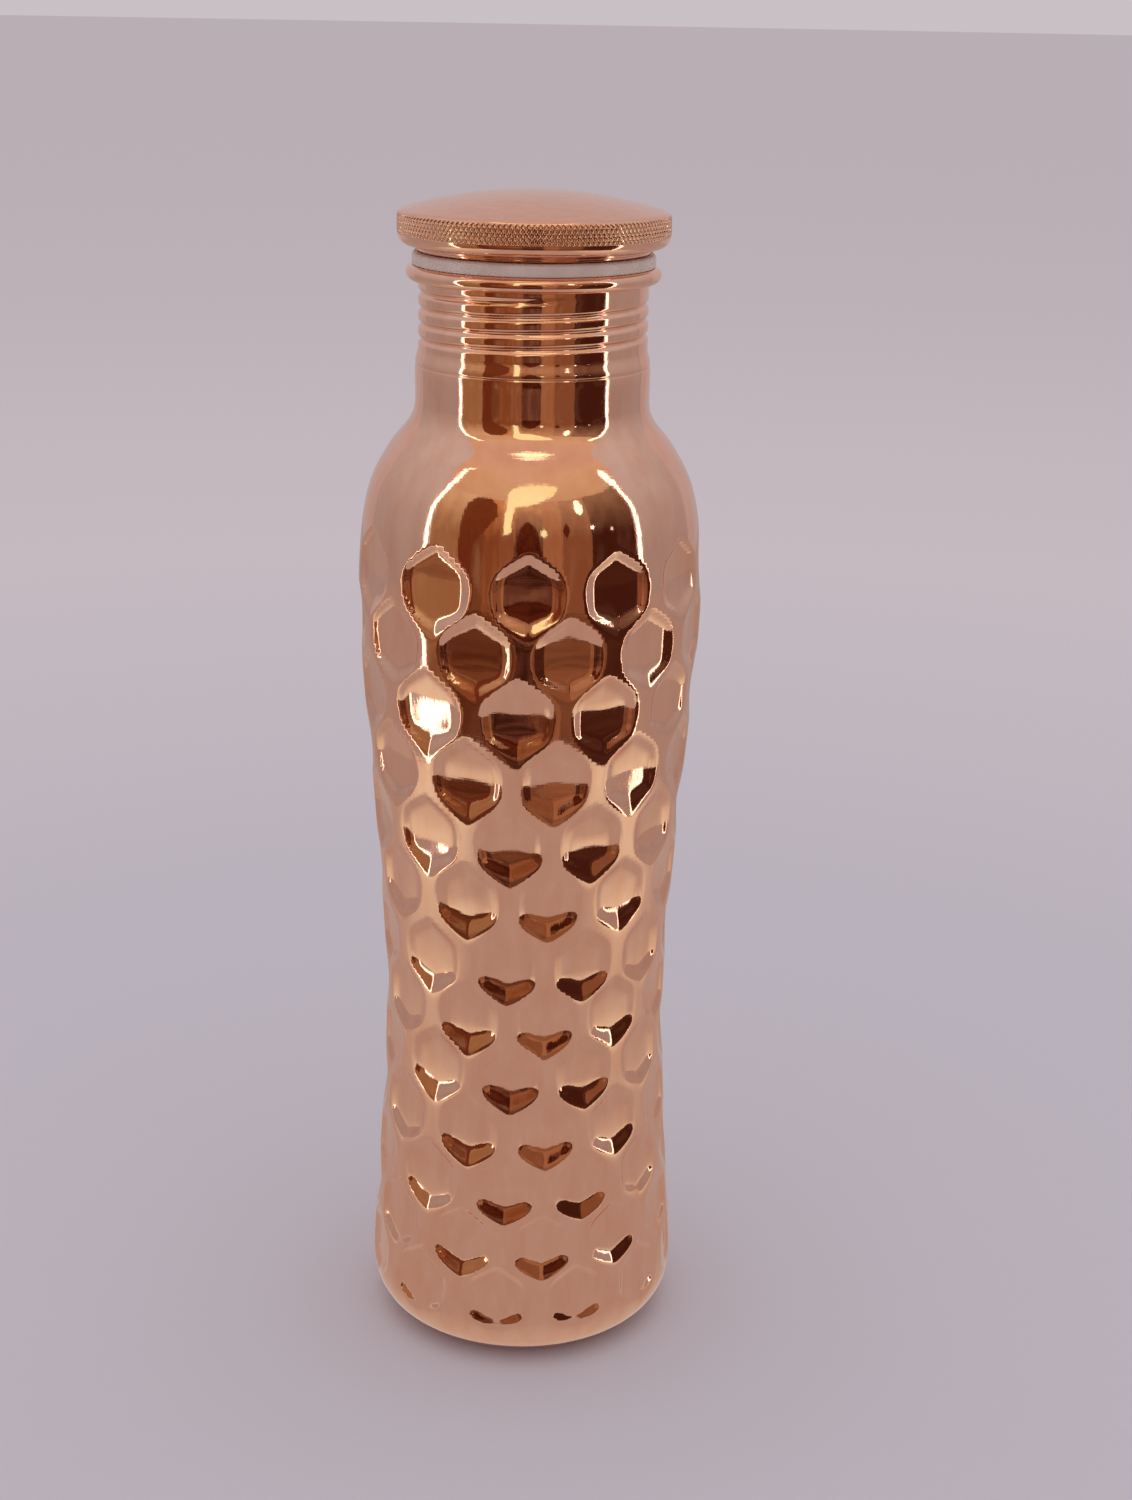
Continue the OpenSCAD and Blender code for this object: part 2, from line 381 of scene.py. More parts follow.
def helix(angle, z, start, start_z, turns, half):
    """How much of a helical ridge or groove there is at a point, 0 to 1, fading in and out at its ends."""
    turn = np.mod(angle - start, TURN) / TURN
    found = np.zeros(np.broadcast(angle, z).shape)
    for k in range(int(turns) + 1):
        t = turn + k
        risen = smooth(np.minimum(t, turns - t) / RUN_OUT)
        d = np.abs(z - start_z - t * PITCH) / half
        found = np.maximum(found, risen * np.where(d < 1, 0.5 + 0.5 * np.cos(math.pi * d), 0))
    return found


def body_relief(angle, z):
    """The body's relief: dimples, scribed line and thread, all pressed in."""
    scribed = SCRIBED_DEPTH * np.exp(-(((z - SCRIBED_Z) / SCRIBED_WIDE) ** 2))
    thread = THREAD_DEPTH * helix(angle, z, THREAD_START, THREAD_START_Z, THREAD_TURNS, THREAD_HALF)
    return -dimples(angle, z) - scribed - thread


OUTLINE_ROWS = outline_points(0.25)
OUTLINE_Z = np.array([p[1] for p in OUTLINE_ROWS])
OUTLINE_RADII = np.array([p[0] for p in OUTLINE_ROWS])


# ---------------------------------------------------------------- materials
def new_material(name):
    """An empty node material with its output node."""
    material = bpy.data.materials.new(name)
    material.use_nodes = True
    tree = material.node_tree
    tree.nodes.clear()
    out = tree.nodes.new("ShaderNodeOutputMaterial")
    return material, tree, out


def link(tree, a, a_name, b, b_name):
    tree.links.new(a.outputs[a_name], b.inputs[b_name])


def noise(tree, vector, scale, detail=3.0, roughness=0.5, output=0):
    """Noise read at a node's output, which is its first unless another is named."""
    node = tree.nodes.new("ShaderNodeTexNoise")
    node.inputs["Scale"].default_value = scale
    node.inputs["Detail"].default_value = detail
    node.inputs["Roughness"].default_value = roughness
    link(tree, vector, output, node, "Vector")
    return node


def ranged(tree, source, output, low, high, to_low, to_high):
    """A node's output brought from one range to another."""
    node = tree.nodes.new("ShaderNodeMapRange")
    node.inputs["From Min"].default_value = low
    node.inputs["From Max"].default_value = high
    node.inputs["To Min"].default_value = to_low
    node.inputs["To Max"].default_value = to_high
    link(tree, source, output, node, "Value")
    return node


def mixed(tree, factor, low, high):
    """A mix node between two colours, by a node's first output."""
    mix = tree.nodes.new("ShaderNodeMix")
    mix.data_type = "RGBA"
    mix.inputs["A"].default_value = (*low, 1)
    mix.inputs["B"].default_value = (*high, 1)
    link(tree, factor, 0, mix, "Factor")
    return mix


def bump(tree, height, strength, distance):
    """A bump node over a noise."""
    node = tree.nodes.new("ShaderNodeBump")
    node.inputs["Strength"].default_value = strength
    node.inputs["Distance"].default_value = distance
    link(tree, height, "Fac", node, "Height")
    return node


def turned_coordinates(tree):
    """Plain coordinates, and others that are the same all round a turned part: (off the axis, 0, height)."""
    place = tree.nodes.new("ShaderNodeTexCoord")
    apart = tree.nodes.new("ShaderNodeSeparateXYZ")
    link(tree, place, "Object", apart, 0)
    length = tree.nodes.new("ShaderNodeVectorMath")
    length.operation = "LENGTH"
    flat = tree.nodes.new("ShaderNodeCombineXYZ")
    link(tree, apart, "X", flat, "X")
    link(tree, apart, "Y", flat, "Y")
    link(tree, flat, 0, length, 0)
    joined = tree.nodes.new("ShaderNodeCombineXYZ")
    link(tree, length, "Value", joined, "X")
    link(tree, apart, "Z", joined, "Z")
    return place, joined


def copper(name, colour, deep, roughness, spin_lines, waviness):
    """Copper with a slow drift of colour, faint handling marks in its gloss, and fine lines from spinning."""
    material, tree, out = new_material(name)
    shader = tree.nodes.new("ShaderNodeBsdfPrincipled")
    shader.inputs["Metallic"].default_value = 1.0
    place, turned = turned_coordinates(tree)
    drift = noise(tree, place, 22.0)
    mix = mixed(tree, ranged(tree, drift, "Fac", 0.38, 0.7, 0.0, 1.0), colour, deep)
    link(tree, mix, "Result", shader, "Base Color")
    marks = noise(tree, place, 75.0, 5.0, 0.62)
    link(tree, ranged(tree, marks, "Fac", 0.35, 0.75, *roughness), 0, shader, "Roughness")
    rings = bump(tree, noise(tree, turned, 2600.0, 2.0), spin_lines, 0.03 * MM)
    waved = bump(tree, noise(tree, place, 120.0, 2.0), waviness, 0.2 * MM)
    link(tree, rings, 0, waved, "Normal")
    link(tree, waved, 0, shader, "Normal")
    link(tree, shader, 0, out, "Surface")
    return material


def paint_groove_shade(material, groove):
    """Painted shade: dark brown painted into the knurl's grooves, picked out by pointiness, where shade
    falls.
    """
    tree = material.node_tree
    shader = next(n for n in tree.nodes if n.type == "BSDF_PRINCIPLED")
    source = shader.inputs["Base Color"].links[0].from_socket
    # Painted shade: low pointiness (the grooves) takes the groove colour, the diamonds keep the copper colour
    shape_of = tree.nodes.new("ShaderNodeNewGeometry")
    mix = mixed(tree, ranged(tree, shape_of, "Pointiness", 0.44, 0.50, 0.0, 1.0), groove, groove)
    tree.links.new(source, mix.inputs["B"])
    link(tree, mix, "Result", shader, "Base Color")
    return material


def silicone(name, colour, deep):
    """Milky silicone with a soft sheen and light passing through its edge."""
    material, tree, out = new_material(name)
    shader = tree.nodes.new("ShaderNodeBsdfPrincipled")
    shader.inputs["Roughness"].default_value = 0.32
    shader.inputs["Subsurface Weight"].default_value = 0.45
    shader.inputs["Subsurface Radius"].default_value = (0.003, 0.002, 0.0015)
    shader.inputs["Subsurface Scale"].default_value = 1.0
    place = tree.nodes.new("ShaderNodeTexCoord")
    node = noise(tree, place, 180.0, 2.0, output="Object")
    mix = mixed(tree, ranged(tree, node, "Fac", 0.35, 0.65, 0.0, 1.0), colour, deep)
    link(tree, mix, "Result", shader, "Base Color")
    link(tree, bump(tree, node, 0.15, 0.05 * MM), 0, shader, "Normal")
    link(tree, shader, 0, out, "Surface")
    return material


# ---------------------------------------------------------------- the body
BODY_ROUND = 336
DIMPLED_LOW_Z = 6.5
DIMPLED_HIGH_Z = 199.0
THREADED_Z = THREAD_START_Z - 1.4
LIP_JOIN_Z = LIP_Z - 1.32


def make_body(material):
    """The body's one sheet: foot, dimpled flank, shoulder, threaded neck and rolled lip, out and in."""
    outside = Profile(
        [(RIM_EDGE_R, 0.0)]
        + arc(FOOT_C, FOOT_ROUND, -90, 0, 60)
        + OUTLINE_ROWS[1:]
        + [(THREAD_NECK_R, THREAD_END_Z + 0.4), (THREAD_NECK_R, LIP_JOIN_Z)]
    )
    at = outside.length_at
    flat_end = FOOT_C[0] - RIM_EDGE_R
    low, high = at(DIMPLED_LOW_Z), at(DIMPLED_HIGH_Z)
    neck, thread, top = at(SCRIBED_Z), at(THREADED_Z), outside.s[-1]
    fine, coarse = BODY_ROUND, BODY_ROUND // 2
    # Rings a step apart, close together where there is relief and wide apart where the skin is plain
    rows = [(s, fine) for s in spaced(flat_end, low, 1.6)]
    rows += [(s, fine) for s in spaced(low, high, 0.98)]
    rows += [(s, fine) for s in spaced(high, neck - 0.5, 1.5)]
    rows += [(neck + d, fine) for d in (-0.4, -0.2, 0.0)]
    rows += [(neck + d, coarse) for d in (0.2, 0.45)]
    rows += [(s, coarse) for s in spaced(neck + 0.9, thread, 0.9)]
    rows += [(s, coarse) for s in spaced(thread, top, 0.38)]
    rings = lathe_rings(outside, *zip(*([(0.0, coarse)] + rows)), body_relief)
    lip = Profile(arc((LIP_RING_R, LIP_Z), LIP_ROUND, -127, 180, 120))
    lip_rows = spaced(0.0, lip.s[-1], 0.62)
    rings += lathe_rings(lip, lip_rows, [coarse] * len(lip_rows), plain)
    foot = at(FOOT_ROUND - 4)
    inner = [(s, coarse // 2) for s in spaced(flat_end, foot, 2.2)]
    inner += [(s, coarse // 2) for s in spaced(foot, high, 2.8)]
    inner += [(s, coarse) for s in spaced(high, thread, 2.4)]
    inner += [(s, coarse) for s in spaced(thread, top, 0.55)]
    lengths, around = zip(*([(0.0, coarse)] + inner))
    rings += lathe_rings(outside, lengths[::-1], around[::-1], body_relief, SHEET, flip=True)
    body = mesh_piece("copper_body", rings, True, material)
    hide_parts("body_shell")
    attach(body, "bottle")
    return body


# ---------------------------------------------------------------- the lid
KNURLS = 156
KNURL_HEIGHT = 1.72
KNURL_DEPTH = 0.28
KNURL_LOW = LID_UNDER_Z + 2.4
KNURL_HIGH = LID_EDGE_Z - 0.5
KNURL_SLOPE = 1.9
KNURL_FADE = 0.3


def knurl(angle, z):
    """Crossed grooves that leave small pointed diamonds round the rim."""
    wave = lambda t: np.abs(np.mod(t, 1.0) - 0.5) * 2
    a = wave(angle * KNURLS / TURN + z / KNURL_HEIGHT)
    b = wave(angle * KNURLS / TURN - z / KNURL_HEIGHT)
    groove = np.maximum(1 - KNURL_SLOPE * a, 1 - KNURL_SLOPE * b)
    fade = smooth((z - KNURL_LOW) / KNURL_FADE) * smooth((KNURL_HIGH - z) / KNURL_FADE)
    return -KNURL_DEPTH * np.clip(groove, 0, 1) * fade


def make_cap(material, rim_material):
    """The lid's cap: domed top, knurled rim, plain band under it and the curl turned in."""
    sphere = (EDGE_R ** 2 + DOME_H ** 2) / (2 * DOME_H)
    end = math.degrees(math.asin(EDGE_R / sphere))
    centre = (0.0, LID_EDGE_Z + DOME_H - sphere)

    def line(inset):
        return (
            arc(centre, sphere - inset, 90, 90 - end * (EDGE_R - inset) / EDGE_R, 40)
            + arc(EDGE_C, EDGE_ROUND - inset, 70, 0, 12)
            + [(LID_R - inset, RIM_TOP_Z), (LID_R - inset, RIM_LOW_Z)]
            + arc(CURL_C, CURL_ROUND - inset, 0, -90, 24)
        )

    outer = Profile([(CURL_EDGE_R, LID_UNDER_Z)] + line(0)[::-1])
    total = outer.s[-1]
    side = lambda z: float(np.interp(z, outer.p[:, 1], outer.s))
    fine = KNURLS * 8
    low, high = side(KNURL_LOW), side(KNURL_HIGH)
    rows = [(s, KNURLS) for s in spaced(0.0, low - 1.0, 0.5)]
    rows += [(low - 0.75, KNURLS * 2), (low - 0.5, KNURLS * 4), (low - 0.2, fine)]
    rows += [(s, fine) for s in spaced(low, high, 0.235)]
    rows += [(high, fine), (high + 0.2, KNURLS * 4), (high + 0.5, KNURLS * 2), (high + 0.8, KNURLS)]
    rows += [(s, KNURLS) for s in spaced(high + 1.2, total - 0.2, 1.6)]
    rings = lathe_rings(outer, *zip(*rows), knurl)
    rings.append((np.array([[0.0, 0.0, LID_EDGE_Z + DOME_H]]), np.array([[0.0, 0.0, 1.0]])))
    inner = Profile([(CURL_EDGE_R, LID_UNDER_Z + SHEET)] + line(SHEET)[::-1])
    inner_rows = spaced(0.0, inner.s[-1] - 0.2, 1.4)
    under = lathe_rings(inner, inner_rows, [KNURLS] * len(inner_rows), plain, flip=True)
    middle = (np.array([[0.0, 0.0, LID_EDGE_Z + DOME_H - SHEET]]), np.array([[0.0, 0.0, -1.0]]))
    cap = mesh_piece("lid_cap_knurled", [middle] + under[::-1] + rings, False, material)
    cap.data.materials.append(rim_material)
    for face in cap.data.polygons:
        off_axis = math.hypot(face.center.x, face.center.y)
        if face.center.z < (KNURL_HIGH + KNURL_FADE) * MM and off_axis > (EDGE_R - 1) * MM:
            face.material_index = 1
    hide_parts("lid_cap")
    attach(cap, "lid")
    return cap


PLUG_THREAD_TURNS = 1.75


def make_plug(material):
    """The lid's spun plug: flange, wall and rolled thread, half a pitch off the neck's own."""

    def ridge(angle, z):
        start_z = THREAD_START_Z + PITCH / 2
        return THREAD_DEPTH * helix(angle, z, THREAD_START, start_z, PLUG_THREAD_TURNS, THREAD_HALF)

    around = 160
    bend = 0.4
    edge = 0.3
    wall = Profile([(PLUG_R, PLUG_LOW_Z), (PLUG_R, FLANGE_Z - bend)])
    rows = spaced(0.0, wall.s[-1], 0.4)
    rings = lathe_rings(wall, rows, [around] * len(rows), ridge)
    rest = Profile(
        arc((PLUG_R + bend, FLANGE_Z - bend), bend, 180, 90, 5)
        + arc((FLANGE_R - edge, FLANGE_Z + edge), edge, -90, 0, 5)
        + arc((FLANGE_R - edge, FLANGE_TOP_Z - edge), edge, 0, 90, 5)
        + [(PLUG_R - SHEET, FLANGE_TOP_Z), (PLUG_R - SHEET, PLUG_LOW_Z)]
    )
    rings += lathe_rings(rest, rest.s, [around] * len(rest.s), plain)
    plug = mesh_piece("lid_plug_threaded", rings, True, material)
    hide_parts("lid_plug")
    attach(plug, "lid")
    return plug


def make_washer(material):
    """The silicone washer, squeezed out a little and down to the lip, with a soft upper edge."""
    soft = 0.9
    tight = 0.25
    chamfer = 0.3
    wide = WASHER_R + 0.2
    centre_r = wide - soft
    low = WASHER_Z - GAP + 0.02
    high = WASHER_Z + WASHER_T
    line = (
        [(WASHER_BORE_R, low), (WASHER_BORE_R + 0.5, low), (centre_r, low)]
        + arc((wide - tight, low + tight), tight, -90, 0, 9)
        + arc((centre_r, high - soft), soft, 0, 90, 9)
        + [(centre_r - 0.6, high), (WASHER_BORE_R + chamfer, high)]
        + [(WASHER_BORE_R, high - chamfer), (WASHER_BORE_R, low + chamfer)]
    )
    profile = Profile(line)
    rings = lathe_rings(profile, profile.s, [160] * len(profile.s), plain)
    washer = mesh_piece("silicone_washer", rings, True, material)
    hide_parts("seal_washer")
    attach(washer, "seal")
    return washer


# ---------------------------------------------------------------- stage, light and camera
def emission(name, colour, strength):
    """Even light of one colour."""
    material, tree, out = new_material(name)
    shader = tree.nodes.new("ShaderNodeEmission")
    shader.inputs["Color"].default_value = (*colour, 1)
    shader.inputs["Strength"].default_value = strength
    link(tree, shader, 0, out, "Surface")
    return material


def stage_mesh(name, verts, faces, material, mirrored_only):
    """A piece of the surround. One that is mirrored_only is out of the picture and shades nothing."""
    mesh = bpy.data.meshes.new(name)
    mesh.from_pydata(verts, [], faces)
    mesh.materials.append(material)
    piece = bpy.data.objects.new(name, mesh)
    bpy.context.scene.collection.objects.link(piece)
    if mirrored_only:
        piece.visible_camera = False
        piece.visible_diffuse = False
        piece.visible_shadow = False
        piece.visible_transmission = False
    piece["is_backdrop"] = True
    return piece


# The stage is in metres: the height that directions are taken from, and the height of the mirrored floor
EYE_Z = 0.19
SHEET_Z = 0.003


def drifting(tree, place, scale):
    """Soft noise between -1 and 1."""
    return ranged(tree, noise(tree, place, scale, 1.0), "Fac", 0.3, 0.7, -1.0, 1.0)


def glow(name, low, high, heights, drift=0.12, scale=4.0):
    """Light that changes colour from low to high between two heights, with a little drift."""
    material, tree, out = new_material(name)
    shader = tree.nodes.new("ShaderNodeEmission")
    place = tree.nodes.new("ShaderNodeTexCoord")
    apart = tree.nodes.new("ShaderNodeSeparateXYZ")
    link(tree, place, "Object", apart, 0)
    risen = ranged(tree, apart, "Z", heights[0], heights[1], 0.0, 1.0)
    add = tree.nodes.new("ShaderNodeMath")
    add.operation = "MULTIPLY_ADD"
    add.use_clamp = True
    add.inputs[1].default_value = drift
    link(tree, drifting(tree, place, scale), 0, add, 0)
    link(tree, risen, 0, add, 2)
    link(tree, mixed(tree, add, low, high), "Result", shader, "Color")
    link(tree, shader, 0, out, "Surface")
    return material


def table_glow(name, plain_light, lamp_light, lamps):
    """The pale table as the copper mirrors it: even, and brighter near the light strips and close in."""
    material, tree, out = new_material(name)
    shader = tree.nodes.new("ShaderNodeEmission")
    place = tree.nodes.new("ShaderNodeTexCoord")
    nearness = None
    for lamp, reach in lamps:
        away = tree.nodes.new("ShaderNodeVectorMath")
        away.operation = "DISTANCE"
        away.inputs[1].default_value = lamp
        link(tree, place, "Object", away, 0)
        near = ranged(tree, away, "Value", 0.0, reach, 1.0, 0.0)
        near.interpolation_type = "SMOOTHSTEP"
        if nearness is not None:
            both = tree.nodes.new("ShaderNodeMath")
            both.operation = "MAXIMUM"
            link(tree, nearness, 0, both, 0)
            link(tree, near, 0, both, 1)
            near = both
        nearness = near
    drift = tree.nodes.new("ShaderNodeMath")
    drift.operation = "MULTIPLY_ADD"
    drift.use_clamp = True
    drift.inputs[1].default_value = 0.03
    link(tree, drifting(tree, place, 9.0), 0, drift, 0)
    link(tree, nearness, 0, drift, 2)
    link(tree, mixed(tree, drift, plain_light, lamp_light), "Result", shader, "Color")
    link(tree, shader, 0, out, "Surface")
    return material


def direction_point(azimuth, elevation, radius):
    """A point round the bottle. Azimuth 0 is the front, +90 is +X."""
    a, e = math.radians(azimuth), math.radians(elevation)
    flat = radius * math.cos(e)
    return (flat * math.sin(a), -flat * math.cos(a), max(SHEET_Z + 0.001, EYE_Z + radius * math.sin(e)))


def card(name, azimuths, low, high, radius, material):
    """A curved card between two elevations that only shows mirrored in the bottle."""
    across, up = 32, 10
    verts, faces = [], []
    for j in range(up + 1):
        for i in range(across + 1):
            a = azimuths[0] + (azimuths[1] - azimuths[0]) * i / across
            verts.append(direction_point(a, low + (high - low) * j / up, radius))
    for j in range(up):
        for i in range(across):
            k = j * (across + 1) + i
            faces.append((k, k + 1, k + across + 2, k + across + 1))
    return stage_mesh(name, verts, faces, material, True)


def shape(name, outline, radius, material):
    """A flat shape that only shows mirrored in the bottle, from (azimuth, elevation) corners."""
    verts = [direction_point(a, e, radius) for a, e in outline]
    return stage_mesh(name, verts, [tuple(range(len(verts)))], material, True)


def disc(azimuth, elevation, size):
    """Corners of a round shape."""
    angles = [TURN * i / 20 for i in range(20)]
    return [(azimuth + size * math.cos(a), elevation + size * math.sin(a)) for a in angles]


def apron(name, azimuths, near, far, material, across=16):
    """A sheet on the floor that only shows mirrored in the bottle."""
    verts, faces = [], []
    for i in range(across + 1):
        a = math.radians(azimuths[0] + (azimuths[1] - azimuths[0]) * i / across)
        for r in (near, far):
            verts.append((r * math.sin(a), -r * math.cos(a), SHEET_Z))
    for i in range(across):
        faces.append((2 * i, 2 * i + 1, 2 * i + 3, 2 * i + 2))
    return stage_mesh(name, verts, faces, material, True)


def make_floor():
    """Plain pale floor, painted a touch darker and cooler round the bottle and lighter far off: painted light
    that brightens the far floor.
    """
    material, tree, out = new_material("stage_floor")
    shader = tree.nodes.new("ShaderNodeBsdfPrincipled")
    shader.inputs["Roughness"].default_value = 0.8
    shader.inputs["Specular IOR Level"].default_value = 0.0
    place = tree.nodes.new("ShaderNodeTexCoord")
    length = tree.nodes.new("ShaderNodeVectorMath")
    length.operation = "LENGTH"
    link(tree, place, "Object", length, 0)
    # Painted light: the floor's colour gets lighter with distance from the bottle
    painted_light_far = ranged(tree, length, "Value", 0.25, 0.8, 0.0, 1.0)
    mix = mixed(tree, painted_light_far, (0.70, 0.69, 0.75), (0.84, 0.797, 0.825))
    link(tree, mix, "Result", shader, "Base Color")
    link(tree, shader, 0, out, "Surface")
    count, radius = 96, 40.0
    angles = [TURN * i / count for i in range(count)]
    verts = [(radius * math.cos(a), radius * math.sin(a), 0.0) for a in angles]
    return stage_mesh("stage_floor", verts, [tuple(range(count))], material, False)


# Distances from the bottle's axis in metres, and the elevation of the cards' lower edges in degrees
TABLE_FROM = 0.0328
TABLE_EDGE = 0.335
WALL_AT = 0.95
TENT_AT = 1.05
LOW_DOWN = -14

# Panels of the room in front: first and last azimuth, colour of the floor, of the wall low down and high up
PANELS = [
    (-69, -47, (0.22, 0.11, 0.06), (0.32, 0.19, 0.10), (0.66, 0.52, 0.34)),
    (-47, -30, (0.09, 0.03, 0.014), (0.17, 0.07, 0.035), (0.75, 0.60, 0.40)),
    (-30, -19, (0.10, 0.035, 0.018), (0.22, 0.085, 0.035), (0.62, 0.34, 0.15)),
    (-19, -9, (0.10, 0.04, 0.022), (0.25, 0.11, 0.055), (0.70, 0.45, 0.25)),
    (-9, 9, (0.04, 0.014, 0.008), (0.12, 0.05, 0.035), (0.62, 0.42, 0.25)),
    (9, 22, (0.21, 0.10, 0.055), (0.33, 0.17, 0.09), (0.56, 0.38, 0.24)),
    (22, 42, (0.15, 0.07, 0.038), (0.23, 0.105, 0.055), (0.46, 0.32, 0.21)),
    (42, 75, (0.07, 0.025, 0.015), (0.055, 0.016, 0.010), (0.30, 0.20, 0.13)),
]
DARK = (0.14, 0.035, 0.015)
BLACK = (0.045, 0.010, 0.005)
BROWN = (0.28, 0.13, 0.07)
CREAM = (1.10, 1.35, 0.85)
WHITE = (1.0, 0.97, 0.90)


def make_walls():
    """The dark warm room in front: its panels of floor and wall, and the lighter wall above them."""
    for i, (start, end, ground, low, high) in enumerate(PANELS):
        material = glow(f"room_{i}", low, high, (0.30, 0.78))
        floor_material = glow(f"room_floor_{i}", ground, low, (-0.1, 0.2), 0.5, 6.0)
        apron(f"room_floor_{i}", (start, end), TABLE_EDGE, WALL_AT, floor_material)
        card(f"room_wall_{i}", (start, end), LOW_DOWN, 40, WALL_AT, material)
    top = glow("room_top", (0.60, 0.45, 0.30), (0.68, 0.54, 0.37), (0.75, 0.95))
    card("room_top", (-70, 76), 38, 50, 0.945, top)


def make_furniture():
    """Soft shapes in the room: a chair on the left, a dark shape in the middle, and bright windows."""
    dark = glow("room_dark", BLACK, DARK, (0.1, 0.7), 0.3, 7.0)
    brown = glow("room_brown", BROWN, DARK, (0.1, 0.8), 0.3, 7.0)
    cream = glow("room_cream", CREAM, (1.1, 1.2, 0.75), (0.3, 0.9), 0.2)
    chair_material = glow("room_chair", DARK, (0.17, 0.055, 0.022), (0.1, 0.7), 0.3, 7.0)
    chair = [
        (-47, LOW_DOWN), (-47, 30), (-42, 37), (-30, 38), (-24, 33),
        (-22, 22), (-29, 12), (-37, 4), (-38, LOW_DOWN),
    ]
    chair_inner = [(-41, 14), (-41, 28), (-37, 33), (-31, 30), (-29, 22), (-35, 13)]
    middle = [(-8, -3), (-8, 6), (-6, 15), (-1, 20), (4, 16), (7, 8), (10, -3)]
    ribbon = [(-18, 44), (-9, 44), (-11, 30), (-12, 12), (-17, 10), (-17, 28)]
    window = [(-18, 36), (-17, 45), (-11, 48), (14, 49), (25, 47), (19, 42), (9, 38), (-1, 34), (-9, 33)]
    shape("room_chair", chair, 0.93, chair_material)
    shape("room_chair_inner", chair_inner, 0.92, brown)
    shape("room_middle", middle, 0.92, dark)
    shape("room_ribbon", ribbon, 0.93, cream)
    shape("room_beside", disc(10, 12, 2.2), 0.91, cream)
    shape("room_window", window, 0.93, cream)
    shape("room_mark", [(22, 13), (25, 18), (28, 13), (25, 8)], 0.92, dark)


def make_lamps():
    """The room's lamps, and the two bright strips where the pale surround ends."""
    oval = [(36 + 3 * math.cos(a), 30 + 7 * math.sin(a)) for a in np.arange(0, TURN, 0.3)]
    shape("lamp_round", oval, 0.90, emission("lamp_white", WHITE, 2.2))
    shape("lamp_small_left", disc(43, 13, 1.0), 0.90, emission("lamp_small", WHITE, 5.0))
    shape("lamp_small_right", disc(57, 10, 0.7), 0.90, emission("lamp_low", WHITE, 1.5))
    strip = emission("strip_white", WHITE, 3.0)
    left = [
        (-73, LOW_DOWN), (-73, 22), (-70, 38), (-61, 47), (-53, 50),
        (-60, 46), (-67, 37), (-70, 22), (-70, LOW_DOWN),
    ]
    right = [
        (79, LOW_DOWN), (79, 22), (76, 38), (66, 46), (65, 44),
        (73, 37), (76, 22), (76, LOW_DOWN),
    ]
    shape("strip_left", left, 0.92, strip)
    shape("strip_right", right, 0.92, strip)
    apron("strip_floor_left", (-73, -70), TABLE_EDGE, WALL_AT, strip)
    apron("strip_floor_right", (76, 79), TABLE_EDGE, WALL_AT, strip)
    card("roof_lamp", (-75, 75), 68.7, 72, 0.93, emission("roof_lamp", (1.0, 0.85, 0.62), 2.2))


def make_surround():
    """The pale surround: the roof, the sides and back, the floor behind, and the table round the bottle."""
    roof = glow("roof", (0.70, 0.54, 0.40), (0.62, 0.48, 0.41), (0.9, 1.15))
    side = glow("tent", (0.37, 0.335, 0.35), (0.58, 0.59, 0.63), (0.0, 0.95), 0.05)
    back = glow("tent_back", (0.48, 0.42, 0.43), (0.55, 0.49, 0.51), (0.0, 0.5))
    behind = glow("tent_floor", (0.42, 0.36, 0.345), (0.40, 0.35, 0.35), (-0.1, 0.2))
    card("roof", (-74, 80), 50, 88, 0.97, roof)
    card("tent_right", (80, 132), LOW_DOWN, 60, TENT_AT, side)
    card("tent_left", (228, 286), LOW_DOWN, 60, TENT_AT, side)
    card("tent_back", (132, 228), LOW_DOWN, 60, TENT_AT, back)
    lamps = [((-0.325, -0.09, SHEET_Z), 0.24), ((0.33, -0.07, SHEET_Z), 0.24), ((0.0, 0.0, SHEET_Z), 0.056)]
    lamps += [((-0.23, -0.21, SHEET_Z), 0.11), ((0.25, -0.20, SHEET_Z), 0.11)]
    table = table_glow("table_mirrored", (0.46, 0.395, 0.38), (0.80, 0.79, 0.67), lamps)
    apron("tent_floor", (75, 285), TABLE_EDGE, 1.06, behind)
    apron("table_mirrored", (-180, 180), TABLE_FROM, TABLE_EDGE, table, 96)


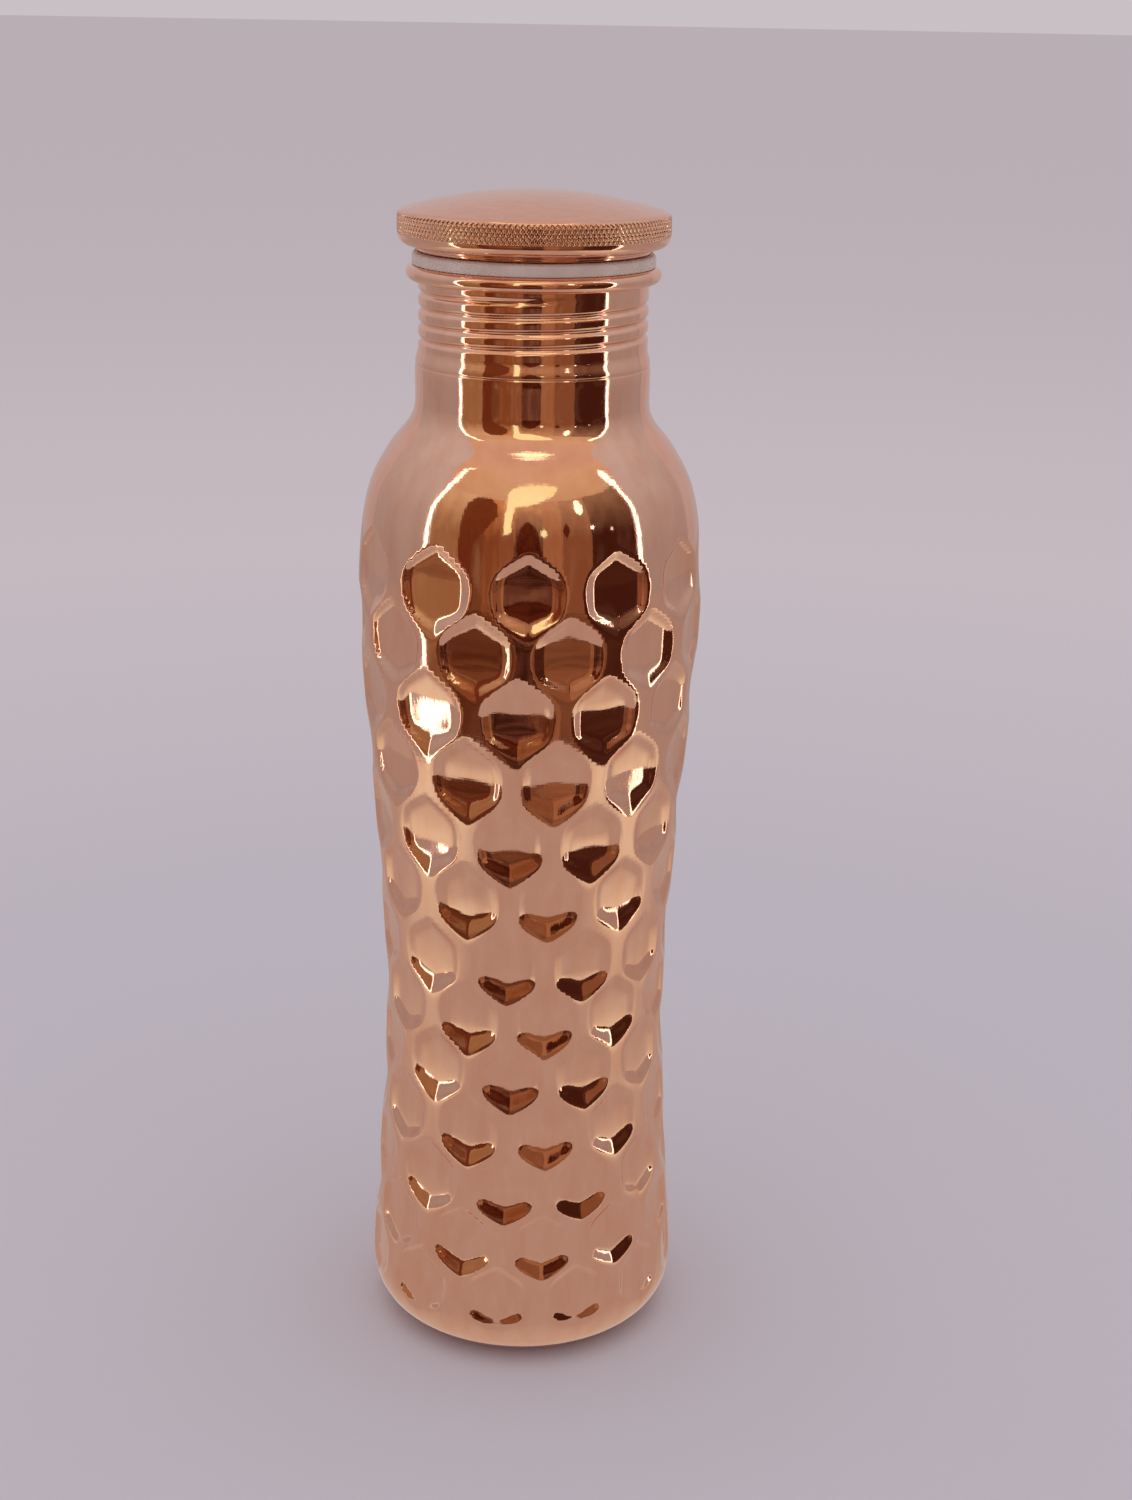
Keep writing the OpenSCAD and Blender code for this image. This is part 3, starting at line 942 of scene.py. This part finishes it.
def make_light():
    """Even light all round and a large soft lamp overhead, which isn't mirrored."""
    world = bpy.data.worlds.new("surround")
    world.use_nodes = True
    back = world.node_tree.nodes["Background"]
    back.inputs["Color"].default_value = (0.58, 0.53, 0.555, 1)
    back.inputs["Strength"].default_value = 1.0
    bpy.context.scene.world = world
    data = bpy.data.lights.new("soft_top", "AREA")
    data.size = 1.8
    data.energy = 5.0
    data.color = (1.0, 0.98, 0.97)
    lamp = bpy.data.objects.new("soft_top", data)
    lamp.location = (0.0, -0.2, 1.7)
    lamp.visible_glossy = False
    lamp.visible_camera = False
    bpy.context.scene.collection.objects.link(lamp)


CAMERA_PLACE = (0.00877, -0.4933, 0.30355)
CAMERA_LOOKS_DOWN = 18.253
CAMERA_LEANS = 1.029
CAMERA_LENS = 54.14


def make_camera():
    """A camera at the photograph's place and angle."""
    data = bpy.data.cameras.new("camera")
    data.sensor_fit = "VERTICAL"
    data.sensor_height = 36.0
    data.lens = CAMERA_LENS
    data.clip_start = 0.01
    camera = bpy.data.objects.new("camera", data)
    tilt = Matrix.Rotation(math.radians(90 - CAMERA_LOOKS_DOWN), 4, "X")
    lean = Matrix.Rotation(math.radians(CAMERA_LEANS), 4, "Z")
    camera.matrix_world = Matrix.Translation(CAMERA_PLACE) @ (tilt @ lean)
    bpy.context.scene.collection.objects.link(camera)
    bpy.context.scene.camera = camera


# ---------------------------------------------------------------- everything together
COPPER = (0.96, 0.56, 0.40)
COPPER_DEEP = (0.93, 0.50, 0.34)
# Painted shade colour for the knurl's grooves
GROOVE_PAINTED_SHADE = (0.10, 0.035, 0.018)
MILKY = (0.80, 0.655, 0.575)
MILKY_DEEP = (0.72, 0.58, 0.50)

polished = copper("copper_polished", COPPER, COPPER_DEEP, (0.035, 0.085), 0.15, 0.03)
satin = copper("copper_satin", COPPER, COPPER_DEEP, (0.10, 0.17), 0.35, 0.02)
make_body(polished)
# The knurled rim's copper, with painted shade in its grooves
rim = copper("copper_knurled", COPPER, COPPER_DEEP, (0.07, 0.12), 0.1, 0.0)
make_cap(satin, paint_groove_shade(rim, GROOVE_PAINTED_SHADE))
make_plug(polished)
make_washer(silicone("silicone_milky", MILKY, MILKY_DEEP))
for node in ("base_plate", "lid_back_plate", "plug_end"):
    node_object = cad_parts[node]
    node_object.data.materials.clear()
    node_object.data.materials.append(satin)
make_floor()
make_walls()
make_furniture()
make_lamps()
make_surround()
make_light()
make_camera()
bpy.context.scene.view_settings.view_transform = "Standard"

as_lists = lambda box: [[float(x) for x in corner] for corner in box]
{"cad": as_lists(cad_bounds), "visual": as_lists(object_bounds())}
